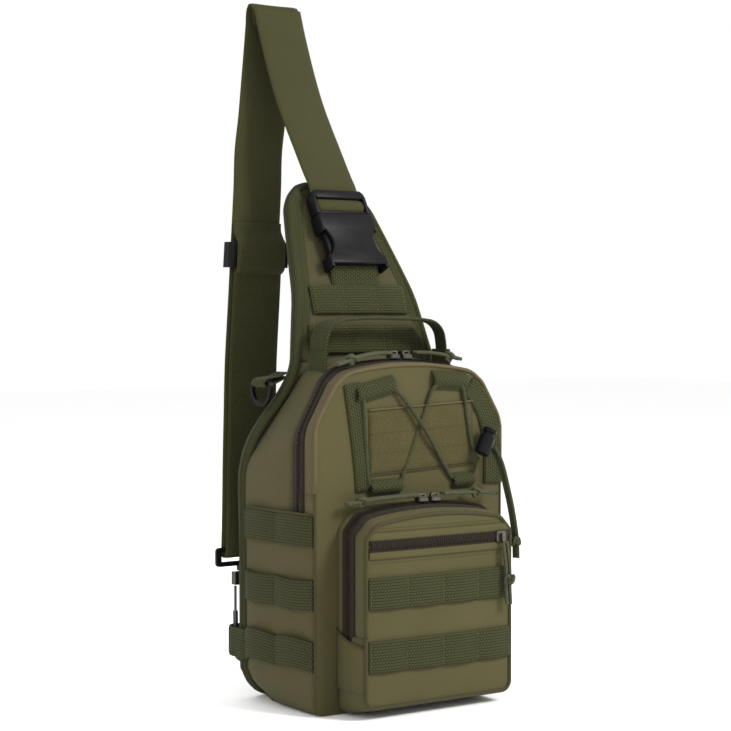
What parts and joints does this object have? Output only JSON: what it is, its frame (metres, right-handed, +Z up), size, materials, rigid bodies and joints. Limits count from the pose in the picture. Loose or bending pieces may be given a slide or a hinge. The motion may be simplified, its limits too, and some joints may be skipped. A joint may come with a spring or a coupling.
{
  "type": "sling bag",
  "caption": "Military-style sling bag with zipped main compartment and front pocket, laced front panel, padded shoulder panel, side-release buckle, adjustable strap and swivel hook.",
  "frame": {"origin": "on the floor, under the middle of the main compartment", "axes": "+X to the viewer's right from the front, +Y towards the wearer's back panel, +Z up"},
  "size_m": [0.21, 0.2352, 0.593],
  "materials": {
    "pack_cloth": "coated oxford weave, olive",
    "foam": "closed-cell foam",
    "webbing": "ribbed woven tape",
    "strap_webbing": "heavy ribbed woven tape",
    "piping": "woven piping",
    "zip_tape": "woven tape with coil",
    "pull_cord": "braided cord",
    "elastic_cord": "braided elastic cord",
    "loop_pile": "napped loop pile",
    "black_plastic": "moulded, fine grain",
    "metal": "plated zinc"
  },
  "bodies": {
    "root": {"back_lining": "pack_cloth", "back_foam": "foam", "shoulder_front_cover": "pack_cloth", "shoulder_foam": "foam", "back_cover": "pack_cloth", "back_binding": "webbing", "main_shell": "pack_cloth", "main_zip_rear": "zip_tape", "main_piping": "piping", "pocket_rear": "pack_cloth", "pocket_zip_rear": "zip_tape", "pocket_piping_lower": "piping", "pocket_webbing_lower": "webbing", "side_webbing_left": "webbing", "side_webbing_right": "webbing", "shoulder_webbing": "webbing", "handle_tabs": "webbing", "ring_tab": "webbing", "strap_rear": "strap_webbing", "strap_front": "strap_webbing", "strap_return": "strap_webbing", "hook_frame": "black_plastic", "hook_loop": "webbing", "buckle_tab": "webbing", "buckle_female": "black_plastic", "drain_grommet": "metal"},
    "main_flap": {"front_flap": "pack_cloth", "main_zip_front": "zip_tape", "flap_piping": "piping", "front_webbing": "webbing", "loop_panel": "loop_pile", "cord_sleeves": "webbing", "lacing": "elastic_cord", "cord_lock_body": "black_plastic", "cord_lock_spring": "metal"},
    "pocket_flap": {"pocket_flap": "pack_cloth", "pocket_zip_front": "zip_tape", "pocket_piping_upper": "piping", "pocket_webbing_upper": "webbing", "front_zip": "zip_tape"},
    "main_slider_left": {"main_slider_left": "metal", "main_pull_left": "pull_cord"},
    "main_slider_right": {"main_slider_right": "metal", "main_pull_right": "pull_cord"},
    "pocket_slider_left": {"pocket_slider_left": "metal", "pocket_pull_left": "pull_cord"},
    "pocket_slider_right": {"pocket_slider_right": "metal", "pocket_pull_right": "pull_cord"},
    "front_slider": {"front_zip_slider": "metal", "front_pull": "pull_cord"},
    "lock_button": {"cord_lock_button": "black_plastic"},
    "lacing_tail": {"lacing_tail": "elastic_cord"},
    "grab_handle": {"grab_handle": "webbing"},
    "side_ring": {"side_ring": "metal"},
    "tri_glide": {"tri_glide": "black_plastic"},
    "hook_body": {"hook_body": "black_plastic"},
    "hook_gate": {"hook_gate": "metal"},
    "buckle_male": {"buckle_male": "black_plastic"},
    "prong_left": {"buckle_prong_left": "black_plastic"},
    "prong_right": {"buckle_prong_right": "black_plastic"}
  },
  "joints": [
    {"name": "main_flap_open", "type": "hinge", "parent": "root", "child": "main_flap", "pos_m": [0, -0.044, 0.178], "axis": [1, 0, 0], "range_deg": [0, 45]},
    {"name": "pocket_flap_open", "type": "hinge", "parent": "root", "child": "pocket_flap", "pos_m": [0, -0.082, 0.066], "axis": [1, 0, 0], "range_deg": [0, 60]},
    {"name": "main_slider_left_travel", "type": "hinge", "parent": "root", "child": "main_slider_left", "pos_m": [0, -0.022, -0.0468], "axis": [0, 1, 0], "range_deg": [-9.5, 0]},
    {"name": "main_slider_right_travel", "type": "hinge", "parent": "root", "child": "main_slider_right", "pos_m": [0, -0.022, -0.0468], "axis": [0, 1, 0], "range_deg": [0, 6.3]},
    {"name": "pocket_slider_left_travel", "type": "hinge", "parent": "root", "child": "pocket_slider_left", "pos_m": [0, -0.06, -0.1678], "axis": [0, 1, 0], "range_deg": [-7, 0]},
    {"name": "pocket_slider_right_travel", "type": "hinge", "parent": "root", "child": "pocket_slider_right", "pos_m": [0, -0.06, -0.1678], "axis": [0, 1, 0], "range_deg": [0, 5]},
    {"name": "front_slider_travel", "type": "slide", "parent": "pocket_flap", "child": "front_slider", "axis": [-1, 0, 0], "range_m": [0, 0.122]},
    {"name": "lock_button_press", "type": "slide", "parent": "main_flap", "child": "lock_button", "axis": [-0.4472, 0, -0.8944], "range_m": [0, 0.003], "stiffness_N_per_m": 300, "deforming": ["cord_lock_spring"]},
    {"name": "lacing_tail_hang", "type": "hinge", "parent": "main_flap", "child": "lacing_tail", "pos_m": [0.077, -0.056, 0.21], "axis": [1, 0, 0], "range_deg": [-45, 0]},
    {"name": "grab_handle_tilt", "type": "hinge", "parent": "root", "child": "grab_handle", "pos_m": [0, -0.002, 0.291], "axis": [1, 0, 0], "range_deg": [-15, 20]},
    {"name": "side_ring_swing", "type": "hinge", "parent": "root", "child": "side_ring", "pos_m": [-0.093, 0.036, 0.264], "axis": [0, 1, 0], "range_deg": [0, 100]},
    {"name": "strap_adjust", "type": "slide", "parent": "root", "child": "tri_glide", "axis": [-0.1235, -0.0947, -0.9878], "range_m": [0, 0.08], "deforming": ["strap_return"]},
    {"name": "hook_swivel", "type": "hinge", "parent": "root", "child": "hook_body", "pos_m": [-0.08, 0.078, 0.104], "axis": [0, 0, 1], "range_deg": [-12, 12]},
    {"name": "hook_gate_open", "type": "hinge", "parent": "hook_body", "child": "hook_gate", "pos_m": [-0.0915, 0.078, 0.094], "axis": [0, -1, 0], "range_deg": [0, 20], "stiffness_Nm_per_rad": 0.02},
    {"name": "buckle_release", "type": "slide", "parent": "root", "child": "buckle_male", "axis": [0, 0.4626, 0.8866], "range_m": [0, 0.034], "deforming": ["strap_front"]},
    {"name": "prong_left_squeeze", "type": "hinge", "parent": "buckle_male", "child": "prong_left", "pos_m": [-0.022, 0.04587, 0.39171], "axis": [0, -0.8866, 0.4626], "range_deg": [0, 8], "stiffness_Nm_per_rad": 0.5},
    {"name": "prong_right_squeeze", "type": "hinge", "parent": "buckle_male", "child": "prong_right", "pos_m": [0.022, 0.04587, 0.39171], "axis": [0, -0.8866, 0.4626], "range_deg": [-8, 0], "stiffness_Nm_per_rad": 0.5}
  ],
  "couplings": [
    {"joint": "lacing_tail_hang", "follows": "main_flap_open", "ratio": -1},
    {"joint": "prong_right_squeeze", "follows": "prong_left_squeeze", "ratio": -1}
  ]
}
